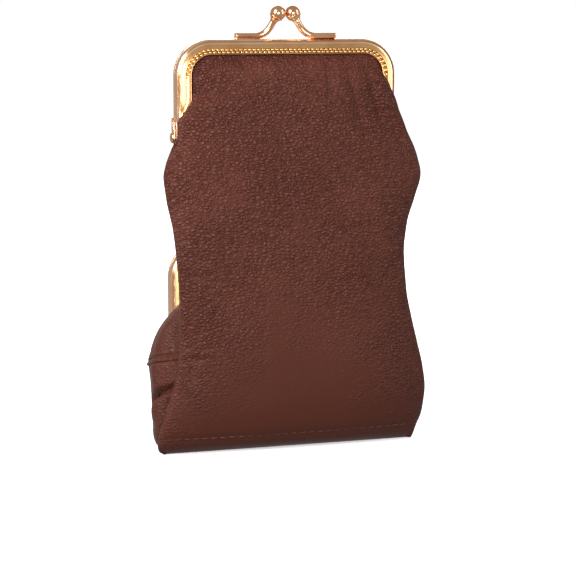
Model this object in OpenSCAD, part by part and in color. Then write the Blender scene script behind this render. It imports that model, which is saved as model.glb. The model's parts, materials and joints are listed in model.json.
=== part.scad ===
// Coin purse: a tall soft leather pouch closed by a ball clasp frame, with a smaller
// clasp framed coin pocket on its back. Millimetres, +Z up, standing on its base.
// The front faces -Y and the coin pocket faces +Y.

/* [Frames] */
// Outside width of both clasp frames
frame_w = 77.5; // [72:0.5:80]
// Height of each frame from its hinge axis to its top
frame_h = 32.4; // [30:0.2:34]
// Outside corner radius of the frames
corner_r = 12; // [10:0.5:13]
// Width of the frame channel's face, from the outer edge to the rim
face_w = 4.6; // [4.2:0.1:5]
// Front to back depth of one frame half
half_depth = 3.6; // [3.4:0.1:4]
// Sheet thickness of the frame channel
channel_t = 0.6; // [0.5:0.05:0.7]
// Diameter of a clasp ball
ball_d = 5.2; // [4.6:0.1:5.6]
// Diameter of a clasp arm
arm_d = 2.3; // [2:0.1:2.6]

/* [Body] */
// Height of the main frame's hinge axis above the base
hinge_z = 106; // [100:1:112]
// Height of the coin frame's hinge axis above the base
coin_hinge_z = 37; // [35:1:40]
// Distance of the coin frame's middle behind the main frame's middle
coin_y = 10.6; // [10.4:0.1:12]
// Thickness of the leather
leather_t = 1; // [0.9:0.05:1.1]
// Thickness of the lining cloth
lining_t = 0.25; // [0.2:0.05:0.35]

/* [Hidden] */
$fn = 48;

gold = [0.85, 0.62, 0.38];
leather = [0.36, 0.19, 0.15];
cloth = [0.55, 0.45, 0.33];
card = [0.72, 0.64, 0.5];
thread = [0.3, 0.15, 0.12];

half_gap = 0.1;                          // from the meeting plane to each half
edge_tuck = 1.2;                         // leather edge to the frame's outer edge
in_frame = frame_w / 2 - edge_tuck;      // half width of leather held in a frame
rim_clear = 1.6;                         // leather bulge to the rim of the channel
frame_top = hinge_z + frame_h;
coin_top = coin_hinge_z + frame_h;
full_hold = 4.5;                         // the frame holds the leather from this far above its hinge
in_channel = half_depth - channel_t - 0.03;   // leather face held in the channel
front_crown = 17.4;                      // front of the pouch ahead of the main frame
back_crown = 17.2;                       // back of the coin pocket behind the main frame
shift_y = (front_crown - back_crown) / 2;     // centres the box on the origin

// ---- Curves through a short table of sections -------------------------------------
function row_of(t, z, i = 0) = i >= len(t) - 2 || z < t[i + 1][0] ? i : row_of(t, z, i + 1);
function secant(t, i, c) = (t[i + 1][c] - t[i][c]) / (t[i + 1][0] - t[i][0]);
function slope(t, i, c) =
    i == 0 ? secant(t, 0, c) :
    i == len(t) - 1 ? secant(t, i - 1, c) :
    let (a = secant(t, i - 1, c), b = secant(t, i, c)) a * b <= 0 ? 0 : 2 * a * b / (a + b);
function at(t, z, c) =
    let (i = row_of(t, z), h = t[i + 1][0] - t[i][0], s = (z - t[i][0]) / h)
    (1 + 2 * s) * (1 - s) * (1 - s) * t[i][c] + s * (1 - s) * (1 - s) * h * slope(t, i, c)
    + s * s * (3 - 2 * s) * t[i + 1][c] + s * s * (s - 1) * h * slope(t, i + 1, c);
function mix(a, b, s) = a + (b - a) * s;
function clamp01(s) = min(1, max(0, s));

// Half width of the frame's outline, inset from its outer edge, at height z
function outline(top, inset, z) =
    frame_w / 2 - corner_r
    + sqrt(max(0, pow(corner_r - inset, 2) - pow(max(0, z - top + corner_r), 2)));

// ---- Sections of the pouch: height, left and right half width, edge y, crown y ------
front_table = [
    [0, 45, 43.8, -6, -6.3],
    [1.2, 46.6, 44.4, -6.8, -9.2],
    [4, 47.2, 45, -7.8, -12],
    [10, 46.2, 46.7, -9.2, -14.6],
    [18, 43.8, 47.2, -10.6, -16.2],
    [26, 41.6, 46, -11.4, -16.9],
    [34, 40.6, 43.9, -12, -17.2],
    [44, 40.2, 41.4, -12.3, -front_crown],
    [54, 40, 39.5, -12.3, -17.3],
    [66, 40.7, 38.8, -11.6, -16.9],
    [hinge_z - 30, 41.6, 40.2, -10.4, -16.1],
    [hinge_z - 21, 43.2, 43.6, -8.6, -15],
    [hinge_z - 13, 43.9, 46, -7, -13.6],
    [hinge_z - 8, 42.7, 45.4, -6, -12.5],
    [hinge_z - 4, 41.6, 43.6, -5.4, -11.4],
    [hinge_z, 40.6, 41.2, -5, -10],
    [hinge_z + full_hold, in_frame, in_frame, -in_channel, -8.6],
    [hinge_z + 14, in_frame, in_frame, -in_channel, -6.8],
    [frame_top - 10, in_frame, in_frame, -in_channel, -4.6],
    [frame_top - 5.2, in_frame, in_frame, -in_channel, -in_channel],
    [frame_top, in_frame, in_frame, -in_channel, -in_channel]
];
rear_table = [
    [0, 45, 43.8, -5.9, -0.5],
    [10, 46.2, 46.7, -9.1, -0.5],
    [18, 43.8, 47.2, -10.5, -0.4],
    [26, 41.6, 46, -11.3, 0],
    [34, 40.6, 43.9, -11.9, 0.2],
    [44, 40.2, 41.4, -12.2, 0.6],
    [54, 40, 39.5, -12.2, 1.5],
    [66, 40.7, 38.8, -11.5, 3],
    [hinge_z - 30, 41.6, 40.2, -10.3, 4.6],
    [hinge_z - 21, 43.2, 43.6, -8.5, 6.2],
    [hinge_z - 13, 43.7, 45.6, -6.8, 7.4],
    [hinge_z - 8, 42.2, 44, -3.4, 7.8],
    [hinge_z - 4, 40.8, 42, 1.6, 7.9],
    [hinge_z - 1.5, 39.8, 40.4, 4, 7.9],
    [hinge_z + 2, 38.4, 38.4, 4, 7.5],
    [hinge_z + full_hold, in_frame, in_frame, in_channel, 7],
    [hinge_z + 14, in_frame, in_frame, in_channel, 5.5],
    [frame_top - 10, in_frame, in_frame, in_channel, 4.2],
    [frame_top - 5.2, in_frame, in_frame, in_channel, in_channel],
    [frame_top, in_frame, in_frame, in_channel, in_channel]
];
coin_table = [
    [0, 43.8, 43, 5, 10.4],
    [1.2, 44.8, 44, 5.6, 12.4],
    [4, 45.2, 44.6, 6.6, 13.8],
    [10, 45.2, 45.2, 8.2, 15.4],
    [20, 45.2, 45.2, 10, 16.8],
    [coin_hinge_z - 8.5, 45.6, 45.6, 12, back_crown],
    [coin_hinge_z - 2, 41.6, 41.6, coin_y + 4, 17.1],
    [coin_hinge_z + 2, 38.6, 38.6, coin_y + 4, 16.8],
    [coin_hinge_z + full_hold, in_frame, in_frame, coin_y + in_channel, 16.4],
    [coin_hinge_z + 14, in_frame, in_frame, coin_y + in_channel, 15.4],
    [coin_top - 10, in_frame, in_frame, coin_y + in_channel, 14.6],
    [coin_top - 5.2, in_frame, in_frame, coin_y + in_channel, coin_y + in_channel],
    [coin_top, in_frame, in_frame, coin_y + in_channel, coin_y + in_channel]
];
// The coin pocket's inner wall, behind the rear panel
inner_table = [
    [0, 37, 0, 1.2],
    [20, 37, 0, 1.3],
    [coin_hinge_z - 6, in_frame, 2, 1.7],
    [coin_hinge_z, 35.6, 5, 2.2],
    [coin_hinge_z + 2, in_frame, coin_y - in_channel, 2.7],
    [coin_hinge_z + 16, in_frame, coin_y - in_channel, 5.2],
    [coin_top - 6, in_frame, coin_y - in_channel, coin_y - in_channel],
    [coin_top, in_frame, coin_y - in_channel, coin_y - in_channel]
];

section_power = 2.3;                     // roundness of the pouch's sections
seam_gap = 0.05;                         // between the two panels of a side seam

// A point of a panel at height z, u from -1 to 1 across it, inset d from its outer face.
// side is -1 for a panel that faces forward and 1 for one that faces back.
function panel_point(t, side, hinge, u, z, d) =
    let (
        held = clamp01((z - hinge + 2) / (full_hold + 2)),
        free_half = (at(t, z, 1) + at(t, z, 2)) / 2,
        middle = (at(t, z, 2) - at(t, z, 1)) / 2,
        half = mix(free_half, min(free_half, outline(hinge + frame_h, edge_tuck, z)), held),
        rim = outline(hinge + frame_h, face_w + rim_clear, z),
        bulge_half = mix(half, min(half, rim), clamp01((z - hinge) / full_hold)) - d,
        edge = at(t, z, 3) + side * (seam_gap * (1 - held) - held * d),
        crown = at(t, z, 4) - side * d,
        x = sin(90 * u) * (half - (1 - held) * d),
        s = min(1, abs(x) / bulge_half),
        bow = pow(1 - pow(s, section_power), mix(1 / section_power, 1, held))
    )
    [middle + x, mix(edge, crown, bow), z];

// ---- Closed sheet between two grids of points ---------------------------------------
// Both grids have the same rows and columns; flip turns the faces over.
module sheet(outer, inner, flip = false) {
    rows = len(outer);
    cols = len(outer[0]);
    count = rows * cols;
    last = cols - 1;
    top = rows - 1;
    function id(layer, r, c) = layer * count + r * cols + c;
    function quad(a, b, c, d) = flip ? [[a, c, b], [a, d, c]] : [[a, b, c], [a, c, d]];
    skins = [
        for (r = [0 : rows - 2], c = [0 : cols - 2])
            each concat(
                quad(id(0, r, c), id(0, r, c + 1), id(0, r + 1, c + 1), id(0, r + 1, c)),
                quad(id(1, r, c), id(1, r + 1, c), id(1, r + 1, c + 1), id(1, r, c + 1)))
    ];
    side_strips = [
        for (r = [0 : rows - 2])
            each concat(
                quad(id(0, r, 0), id(0, r + 1, 0), id(1, r + 1, 0), id(1, r, 0)),
                quad(id(0, r, last), id(1, r, last), id(1, r + 1, last), id(0, r + 1, last)))
    ];
    end_strips = [
        for (c = [0 : cols - 2])
            each concat(
                quad(id(0, 0, c), id(1, 0, c), id(1, 0, c + 1), id(0, 0, c + 1)),
                quad(id(0, top, c), id(0, top, c + 1), id(1, top, c + 1), id(1, top, c)))
    ];
    polyhedron(
        points = concat([for (r = outer) each r], [for (r = inner) each r]),
        faces = concat(skins, side_strips, end_strips), convexity = 8);
}

columns = 18;
function across() = [for (i = [0 : columns]) -1 + 2 * i / columns];
function row(t, side, hinge, z, d) = [for (u = across()) panel_point(t, side, hinge, u, z, d)];

// Rows of a panel from height z0 up to an edge that may sag: z1 is its height at the
// middle and at the sides. They lie closer together near the bottom, and the last
// ones can be dropped.
function panel_rows(t, side, hinge, z0, z1, n, d, dropped = 0) =
    [for (i = [0 : n - dropped])
        [for (u = across())
            let (z_end = mix(z1[1], z1[0], pow(cos(90 * u), 2)))
            panel_point(t, side, hinge, u, mix(z0, z_end, pow(i / n, 1.25)), d)]];

// Rows of the coin pocket's inner wall, d behind its forward face
function inner_rows(d) =
    [for (i = [0 : body_n])
        let (
            z = mix(inside_floor, coin_top - edge_tuck, i / body_n),
            half = min(at(inner_table, z, 1), outline(coin_top, edge_tuck, z)),
            rim = outline(coin_top, face_w + rim_clear, z)
        )
        [for (u = across())
            let (x = half * sin(90 * u), bow = 1 - pow(min(1, abs(x) / rim), section_power))
            [x, mix(at(inner_table, z, 2), at(inner_table, z, 3), bow) + d, z]]];

// Upper edges of the leather on the pouch, and lower edges of the leather on the halves,
// which swing past them: the leather is one piece that bends between the two
front_split = [hinge_z - 3.2, hinge_z - 3.2];
rear_split = [hinge_z - 5, hinge_z - 4.6];
coin_split = [coin_hinge_z - 4.4, coin_hinge_z - 4.2];
main_top_start = hinge_z + 1.3;
coin_top_start = coin_hinge_z + 0.3;

// ---- Leather ------------------------------------------------------------------------
floor_z = leather_t;
inside_floor = floor_z + 1.1;            // top of the base board
wrap_h = 5.8;                            // the front panel comes up the back to this height
body_n = 16;
coin_n = 8;
top_n = 10;

module front_panel() {
    function low(z, d) = z < 2 ? max(z, 2 * d) : z;
    function wrap(z, d) = row(coin_table, 1, coin_hinge_z, low(z, d), d);
    function floor_row(s, d) =
        let (a = row(coin_table, 1, coin_hinge_z, d, d), b = row(front_table, -1, hinge_z, d, d))
        [for (i = [0 : columns]) mix(a[i], b[i], s)];
    function skin(d) = concat(
        [for (z = [wrap_h, 3.6, 1.2]) wrap(z, d)],
        [for (s = [0, 0.33, 0.67, 1]) floor_row(s, d)],
        [row(front_table, -1, hinge_z, low(1.2, d), d)],
        panel_rows(front_table, -1, hinge_z, inside_floor, front_split, body_n, d));
    color(leather) sheet(skin(0), skin(leather_t), true);
}
module rear_panel() {
    function skin(d) = panel_rows(rear_table, 1, hinge_z, inside_floor, rear_split, body_n, d);
    color(leather) sheet(skin(0), skin(leather_t));
}
module coin_outer_panel() {
    function skin(d) = panel_rows(coin_table, 1, coin_hinge_z, wrap_h + 0.05, coin_split, coin_n, d);
    color(leather) sheet(skin(0), skin(leather_t));
}
module coin_inner_panel() { color(leather) sheet(inner_rows(0), inner_rows(leather_t), true); }
module panel_top(t, side, hinge, start) {
    top = hinge + frame_h - edge_tuck;
    function skin(d) = panel_rows(t, side, hinge, start, [top, top], top_n, d);
    color(leather) sheet(skin(0), skin(leather_t), side < 0);
}

// A side gusset: a strip with an inward fold, from the main pouch's side to the coin panel
gusset_cols = 8;
gusset_rows = 12;
gusset_fold = 3;
gusset_top = coin_hinge_z - 4.5;
gusset_root = 0.42;                      // where it leaves the rear panel, from edge to crown
function gusset_point(z, s, d, column) =
    let (
        y0 = mix(at(rear_table, z, 3), at(rear_table, z, 4), gusset_root),
        x0 = at(rear_table, z, column) * pow(1 - pow(gusset_root, section_power), 1 / section_power),
        y1 = at(coin_table, z, 3) - 0.4,
        x1 = at(coin_table, z, column),
        fold = gusset_fold * sin(180 * s) * clamp01(z / 20)
    )
    [mix(x0 + leather_t + 0.4, x1, s) - fold - d, mix(y0, y1, s), z];
module coin_gusset(column) {
    function skin(d) = [for (i = [0 : gusset_rows])
        let (z = mix(inside_floor, gusset_top, i / gusset_rows))
        [for (j = [0 : gusset_cols]) gusset_point(z, j / gusset_cols, d, column)]];
    sheet(skin(0), skin(leather_t), true);
}
module coin_gusset_right() { color(leather) coin_gusset(2); }
module coin_gusset_left() { color(leather) mirror([1, 0, 0]) coin_gusset(1); }

// ---- Lining -------------------------------------------------------------------------
// It follows the rows of the leather that it lies against
module lining(t, side, hinge, z0, z1, n, dropped) {
    near = leather_t + 0.05;
    color(cloth)
        sheet(panel_rows(t, side, hinge, z0, z1, n, near, dropped),
              panel_rows(t, side, hinge, z0, z1, n, near + lining_t, dropped), side < 0);
}
module lining_top(t, side, hinge, start) {
    top = hinge + frame_h - edge_tuck;
    lining(t, side, hinge, start, [top, top], top_n, 0);
}
module coin_lining_inner() {
    near = leather_t + 0.05;
    color(cloth) sheet(inner_rows(near), inner_rows(near + lining_t), true);
}

// ---- Base board and stitching ---------------------------------------------------------
module base_board() {
    board_l = 78;
    board_w = 11;
    color(card) translate([0, 1.5, floor_z + 0.05]) linear_extrude(height = 1) {
        square([board_l - board_w, board_w], center = true);
        for (s = [-1, 1]) translate([s * (board_l - board_w) / 2, 0]) circle(d = board_w);
    }
}

stitch_pitch = 3.1;
stitch_l = 2.2;
stitch_r = 0.22;
module stitch_line(t, side, hinge, z) {
    reach = 38;
    n = floor(reach / stitch_pitch);
    half = (at(t, z, 1) + at(t, z, 2)) / 2;
    for (i = [-n : n]) {
        x = i * stitch_pitch;
        p = panel_point(t, side, hinge, asin(x / half) / 90, z, 0);
        q = panel_point(t, side, hinge, asin((x + 0.5) / half) / 90, z, 0);
        translate([p.x, p.y + side * (stitch_r + 0.12), z])
            rotate([0, 0, atan2(q.y - p.y, q.x - p.x)])
                rotate([0, 90, 0])
                    cylinder(r = stitch_r, h = stitch_l, center = true);
    }
}
module base_stitching() {
    color(thread) {
        stitch_line(front_table, -1, hinge_z, wrap_h);
        stitch_line(coin_table, 1, coin_hinge_z, wrap_h - 1.2);
    }
}

// ---- Clasp frames ---------------------------------------------------------------------
// A frame is drawn with its hinge axis along X through the origin. The forward half is
// drawn, and mirrored in Y for the other one.
leg_start = 6;                           // the channel ends this far above the hinge axis
ear_r = 2.4;
pin_r = 0.9;
pin_clear = 0.06;
ear_t = 0.75;
inner_ear_x = frame_w / 2 - ear_t;       // ear of the half without the rivets
outer_ear_x = frame_w / 2 + 0.1;         // ear of the half that holds the rivets

// Channel section: distance in from the outer edge, depth. Open towards the leather.
round_r = 1.4;
rim_w = 1.8;
rim_rise = 0.25;
channel_section = concat(
    [[0, -half_gap]],
    [for (a = [0 : 15 : 90]) [round_r - round_r * cos(a), -half_depth + round_r - round_r * sin(a)]],
    [[face_w - rim_w - 0.15, -half_depth], [face_w - rim_w, -half_depth - rim_rise],
     [face_w - 0.15, -half_depth - rim_rise], [face_w, -half_depth - rim_rise + 0.15],
     [face_w, -half_depth + channel_t], [channel_t, -half_depth + channel_t],
     [channel_t, -half_gap - channel_t], [face_w - 0.8, -half_gap - channel_t],
     [face_w - 0.8, -half_gap]]);

// Runs a section of [inset, depth] points along the frame's outline, legs included
module along_frame(section, low) {
    side_x = frame_w / 2;
    for (s = [0, 1]) mirror([s, 0, 0]) {
        translate([0, 0, low])
            linear_extrude(height = frame_h - corner_r - low)
                polygon([for (p = section) [side_x - p[0], p[1]]]);
        translate([side_x - corner_r, 0, frame_h - corner_r])
            rotate([90, 0, 0])
                rotate_extrude(angle = 90)
                    polygon([for (p = section) [corner_r - p[0], -p[1]]]);
    }
    translate([-side_x + corner_r, 0, frame_h])
        rotate([90, 0, 90])
            linear_extrude(height = frame_w - 2 * corner_r)
                polygon([for (p = section) [p[1], -p[0]]]);
}

// A flat ear with a hole for the rivet, on the leg's side wall
module ear(x0, bore_r) {
    translate([x0, 0, 0]) rotate([90, 0, 90])
        difference() {
            linear_extrude(height = ear_t) {
                circle(r = ear_r);
                polygon([[-ear_r, 0], [ear_r, 0], [-0.5, leg_start + 1],
                         [-half_depth + round_r, leg_start + 1]]);
            }
            translate([0, 0, -1]) cylinder(r = bore_r, h = ear_t + 2);
        }
}

module frame_half(ear_x, bore_r) {
    along_frame(channel_section, leg_start);
    for (s = [0, 1]) mirror([s, 0, 0]) {
        ear(ear_x, bore_r);
        // a joggle joins the outer ear to the leg's side wall
        if (ear_x > frame_w / 2)
            translate([frame_w / 2 - 0.3, -half_depth + round_r, leg_start + 0.4])
                cube([ear_x - frame_w / 2 + ear_t + 0.3, half_depth - round_r - 0.5, 3]);
    }
}

// Rivets: shank, outside head and inside head
head_r = 1.85;
module rivets() {
    shank_start = inner_ear_x - 0.15;
    shank_end = outer_ear_x + ear_t;
    for (s = [0, 1]) mirror([s, 0, 0])
        rotate([0, 90, 0])
            rotate_extrude()
                polygon([[0, shank_start - 0.6], [1.5, shank_start - 0.6], [1.5, shank_start],
                         [pin_r, shank_start], [pin_r, shank_end], [head_r, shank_end],
                         [head_r, shank_end + 0.35], [head_r - 0.45, shank_end + 0.75],
                         [head_r - 1.1, shank_end + 0.95], [0, shank_end + 1]]);
}

// Packing cord that wedges the leather in the channel
cord_r = 0.4;
cord_inset = 1.35;
module channel_cord() {
    y = -half_gap - channel_t - cord_r - 0.05;
    x = frame_w / 2 - cord_inset;
    bend = corner_r - cord_inset;
    for (s = [0, 1]) mirror([s, 0, 0]) {
        translate([x, y, leg_start + 0.5]) cylinder(r = cord_r, h = frame_h - corner_r - leg_start - 0.5);
        translate([x - bend, y, frame_h - corner_r]) rotate([90, 0, 0])
            rotate_extrude(angle = 90) translate([bend, 0]) circle(r = cord_r);
    }
    translate([-x + bend, y, frame_h - cord_inset]) rotate([0, 90, 0])
        cylinder(r = cord_r, h = 2 * (x - bend));
}

// Clasp arm: a foot along the top bar, a bend, and the neck under the ball. It is
// drawn on the right and leans across the meeting plane.
foot_end = 17;
bend_r = 6;                              // radius of the arm's bend, through bend_a
bend_a = 64;
ball_x = ball_d / 2 + 0.1;
ball_lean = 0.45;                        // a ball crosses the meeting plane by this
ball_rise = 8.6;                         // centre of a ball above the frame's top
arm_r = arm_d / 2;
foot_y = -half_depth / 2;
foot_lift = arm_r - 0.25;
lean_a = atan((ball_lean - foot_y) / (ball_rise - foot_lift));
arm_rise = norm([ball_lean - foot_y, ball_rise - foot_lift]);
neck_l = (arm_rise - bend_r * (1 - cos(bend_a))) / sin(bend_a);   // bend to ball centre
foot_start = ball_x + bend_r * sin(bend_a) + neck_l * cos(bend_a);
seat_r = ball_d / 2 + 0.04;              // the neck's end is cupped round the ball

// A ring of the arm: u inwards from the foot, w up the leaning plane, slope and radius.
// cup slides each point along the slope on to the ball.
ring_n = 20;
function arm_ring(u, w, a, r, cup = false) = [for (i = [0 : ring_n - 1])
    let (
        t = 360 * i / ring_n,
        slide = cup ? neck_l - sqrt(seat_r * seat_r - r * r) : 0,
        pu = u + slide * cos(a) - r * sin(t) * sin(a),
        pw = w + slide * sin(a) + r * sin(t) * cos(a),
        pv = r * cos(t)
    )
    [foot_start - pu, foot_y + pv * cos(lean_a) + pw * sin(lean_a),
     max(0, foot_lift + pw * cos(lean_a) - pv * sin(lean_a))]];
module clasp_arm() {
    bend = [for (a = [0 : 16 : bend_a]) arm_ring(bend_r * sin(a), bend_r * (1 - cos(a)), a, arm_r)];
    u1 = bend_r * sin(bend_a);
    w1 = bend_r * (1 - cos(bend_a));
    l = foot_end - foot_start;
    rings = concat(
        [arm_ring(-l, 0, 0, arm_r * 0.3), arm_ring(-l, 0, 0, arm_r * 0.72), arm_ring(0.3 - l, 0, 0, arm_r)],
        bend,
        [arm_ring(u1, w1, bend_a, arm_r, true), arm_ring(u1, w1, bend_a, arm_r * 0.5, true),
         arm_ring(u1, w1, bend_a, arm_r * 0.1, true)]);
    last = len(rings) - 1;
    polyhedron(
        points = [for (r = rings) each r],
        faces = concat(
            [[for (i = [ring_n - 1 : -1 : 0]) i]],
            [for (k = [0 : last - 1], i = [0 : ring_n - 1])
                let (a = k * ring_n + i, b = k * ring_n + (i + 1) % ring_n)
                each [[a, b + ring_n, a + ring_n], [a, b, b + ring_n]]],
            [[for (i = [0 : ring_n - 1]) last * ring_n + i]]),
        convexity = 4);
}
module clasp_ball() { translate([ball_x, ball_lean, ball_rise]) sphere(d = ball_d); }

// ---- Placing ---------------------------------------------------------------------------
module in_place() { translate([0, shift_y, 0]) children(); }
// side -1 keeps the forward half's drawing; 1 turns it round, so its clasp is on the left
module main_at(side) { translate([0, 0, hinge_z]) rotate([0, 0, side < 0 ? 0 : 180]) children(); }
module coin_at(side) { translate([0, coin_y, coin_hinge_z]) rotate([0, 0, side < 0 ? 0 : 180]) children(); }
module on_top() { translate([0, 0, frame_h]) children(); }

in_place() color(gold) main_at(-1) frame_half(inner_ear_x, pin_r + pin_clear);  // main_frame_front
in_place() color(gold) main_at(1) frame_half(outer_ear_x, pin_r);  // main_frame_rear
in_place() color(gold) main_at(-1) on_top() clasp_arm();  // main_clasp_arm_front
in_place() color(gold) main_at(1) on_top() clasp_arm();  // main_clasp_arm_rear
in_place() color(gold) main_at(-1) on_top() clasp_ball();  // main_clasp_ball_front
in_place() color(gold) main_at(1) on_top() clasp_ball();  // main_clasp_ball_rear
in_place() color(card) main_at(-1) channel_cord();  // main_channel_cord_front
in_place() color(card) main_at(1) channel_cord();  // main_channel_cord_rear
in_place() color(gold) main_at(1) rivets();  // main_hinge_rivets
in_place() color(gold) coin_at(-1) frame_half(outer_ear_x, pin_r);  // coin_frame_inner
in_place() color(gold) coin_at(1) frame_half(inner_ear_x, pin_r + pin_clear);  // coin_frame_outer
in_place() color(gold) coin_at(-1) on_top() clasp_arm();  // coin_clasp_arm_inner
in_place() color(gold) coin_at(1) on_top() clasp_arm();  // coin_clasp_arm_outer
in_place() color(gold) coin_at(-1) on_top() clasp_ball();  // coin_clasp_ball_inner
in_place() color(gold) coin_at(1) on_top() clasp_ball();  // coin_clasp_ball_outer
in_place() color(card) coin_at(-1) channel_cord();  // coin_channel_cord_inner
in_place() color(card) coin_at(1) channel_cord();  // coin_channel_cord_outer
in_place() color(gold) coin_at(-1) rivets();  // coin_hinge_rivets
in_place() front_panel();
in_place() panel_top(front_table, -1, hinge_z, main_top_start);  // front_panel_top
in_place() rear_panel();
in_place() panel_top(rear_table, 1, hinge_z, main_top_start);  // rear_panel_top
in_place() lining(front_table, -1, hinge_z, inside_floor, front_split, body_n, 1);  // main_lining_front
in_place() lining(rear_table, 1, hinge_z, inside_floor, rear_split, body_n, 1);  // main_lining_rear
in_place() lining_top(front_table, -1, hinge_z, main_top_start);  // main_lining_front_top
in_place() lining_top(rear_table, 1, hinge_z, main_top_start);  // main_lining_rear_top
in_place() coin_inner_panel();
in_place() coin_outer_panel();
in_place() panel_top(coin_table, 1, coin_hinge_z, coin_top_start);  // coin_outer_panel_top
in_place() coin_gusset_left();
in_place() coin_gusset_right();
in_place() coin_lining_inner();
in_place() lining(coin_table, 1, coin_hinge_z, wrap_h + 0.05, coin_split, coin_n, 1);  // coin_lining_outer
in_place() lining_top(coin_table, 1, coin_hinge_z, coin_top_start);  // coin_lining_outer_top
in_place() base_board();
in_place() base_stitching();
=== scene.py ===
import json
import math

import bmesh
import bpy
import numpy as np
from mathutils import Matrix, Vector, noise


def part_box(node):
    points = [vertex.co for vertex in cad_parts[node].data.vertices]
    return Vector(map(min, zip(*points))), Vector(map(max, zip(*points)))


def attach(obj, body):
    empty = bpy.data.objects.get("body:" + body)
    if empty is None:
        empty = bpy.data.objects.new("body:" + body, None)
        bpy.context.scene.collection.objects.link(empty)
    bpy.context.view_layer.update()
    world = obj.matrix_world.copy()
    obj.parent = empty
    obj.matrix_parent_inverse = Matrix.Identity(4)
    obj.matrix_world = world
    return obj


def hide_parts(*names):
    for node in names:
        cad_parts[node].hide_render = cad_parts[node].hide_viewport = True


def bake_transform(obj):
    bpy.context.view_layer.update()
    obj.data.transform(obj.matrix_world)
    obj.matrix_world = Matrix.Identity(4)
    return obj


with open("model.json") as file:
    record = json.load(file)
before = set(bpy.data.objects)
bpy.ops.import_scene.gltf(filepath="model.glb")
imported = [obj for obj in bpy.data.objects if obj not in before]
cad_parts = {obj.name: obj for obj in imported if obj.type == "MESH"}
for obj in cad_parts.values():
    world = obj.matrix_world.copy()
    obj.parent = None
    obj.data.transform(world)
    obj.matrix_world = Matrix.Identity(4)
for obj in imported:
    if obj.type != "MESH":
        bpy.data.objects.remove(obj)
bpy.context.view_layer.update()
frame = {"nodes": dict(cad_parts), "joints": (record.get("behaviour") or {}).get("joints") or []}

MM = 0.001
HINGES = {j["name"]: np.array(j["pos_m"]) / MM for j in frame["joints"]}
SHIFT_Y = HINGES["main_front_hinge"][1]


def box_mm(node):
    return [np.array(corner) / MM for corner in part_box(node)]


# ---- Driving dimensions, from the frame -----------------------------------------------------
HINGE_Z = HINGES["main_front_hinge"][2]
COIN_HINGE_Z = HINGES["coin_hinge"][2]
COIN_Y = HINGES["coin_hinge"][1] - SHIFT_Y
FRAME_TOP = box_mm("main_frame_front")[1][2]
FRAME_H = FRAME_TOP - HINGE_Z
COIN_TOP = COIN_HINGE_Z + FRAME_H
SIDE_X = box_mm("main_frame_front")[1][0] - 0.3  # a little narrower than the CAD frame
CORNER_R = 12.0
FACE_W = 5.0
HALF_DEPTH = 3.6
CHANNEL_T = 0.6
LEATHER_T = 1.0
LINING_T = 0.3
IN_CHANNEL = HALF_DEPTH - CHANNEL_T - 0.03
EDGE_TUCK = 1.2
WRAP_H = 5.8
SECTION_POWER = 2.3

# Sections of the pouch: height, left and right half width, edge y, crown y. Above its
# hinge a panel's widths come from its frame.
FRONT_TABLE = [
    [0, 45, 43.8, -6, -6.3],
    [1.2, 46.6, 44.4, -6.8, -9.2],
    [4, 47.2, 45, -7.8, -12],
    [10, 46.2, 46.7, -9.2, -14.6],
    [18, 43.8, 47.2, -10.6, -16.2],
    [26, 41.6, 46, -11.4, -16.9],
    [34, 40.6, 43.9, -12, -17.2],
    [44, 40.2, 41.4, -12.3, -17.3],
    [54, 40, 39.5, -12.3, -17.3],
    [66, 40.7, 38.8, -11.6, -16.9],
    [HINGE_Z - 30, 41.6, 40.2, -10.4, -16.1],
    [HINGE_Z - 21, 43.2, 43.6, -8.6, -15],
    [HINGE_Z - 13, 44, 46.2, -7, -13.6],
    [HINGE_Z - 8, 43, 45.4, -6, -12.6],
    [HINGE_Z - 4, 40.4, 44.2, -5.4, -11.8],
    [HINGE_Z - 1.5, 38.8, 43.1, -5.1, -11.2],
    [HINGE_Z + 4.5, 38.7, 40.6, -5, -9.8],
    [HINGE_Z + 14, 41, 41, -5, -8.3],
    [HINGE_Z + 19, 41, 41, -5, -7.2],
    [FRAME_TOP - 9, 41, 41, -5, -5.4],
    [FRAME_TOP - 5.2, 41, 41, -5, -IN_CHANNEL],
    [FRAME_TOP, 41, 41, -5, -IN_CHANNEL],
]
REAR_TABLE = [
    [0, 45, 43.8, -5.9, -0.5],
    [10, 46.2, 46.7, -9.1, -0.5],
    [18, 43.8, 47.2, -10.5, -0.4],
    [26, 41.6, 46, -11.3, 0],
    [34, 40.6, 43.9, -11.9, 0.2],
    [44, 40.2, 41.4, -12.2, 0.6],
    [54, 40, 39.5, -12.2, 1.5],
    [66, 40.7, 38.8, -11.5, 3],
    [HINGE_Z - 30, 41.6, 40.2, -10.3, 4.6],
    [HINGE_Z - 21, 43.2, 43.6, -8.5, 6.2],
    [HINGE_Z - 13, 43.9, 45.6, -6.9, 7.6],
    [HINGE_Z - 8, 42, 43, -3.4, 8.6],
    [HINGE_Z - 4, 39.2, 39.8, 1.6, 9.3],
    [HINGE_Z - 1.5, 37.6, 38, 4, 9.6],
    [HINGE_Z + 4.5, 41, 41, 5, 9.4],
    [HINGE_Z + 14, 41, 41, 5, 8],
    [HINGE_Z + 19, 41, 41, 5, 7],
    [FRAME_TOP - 9, 41, 41, 5, 5.2],
    [FRAME_TOP - 5.2, 41, 41, 5, IN_CHANNEL],
    [FRAME_TOP, 41, 41, 5, IN_CHANNEL],
]
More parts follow.
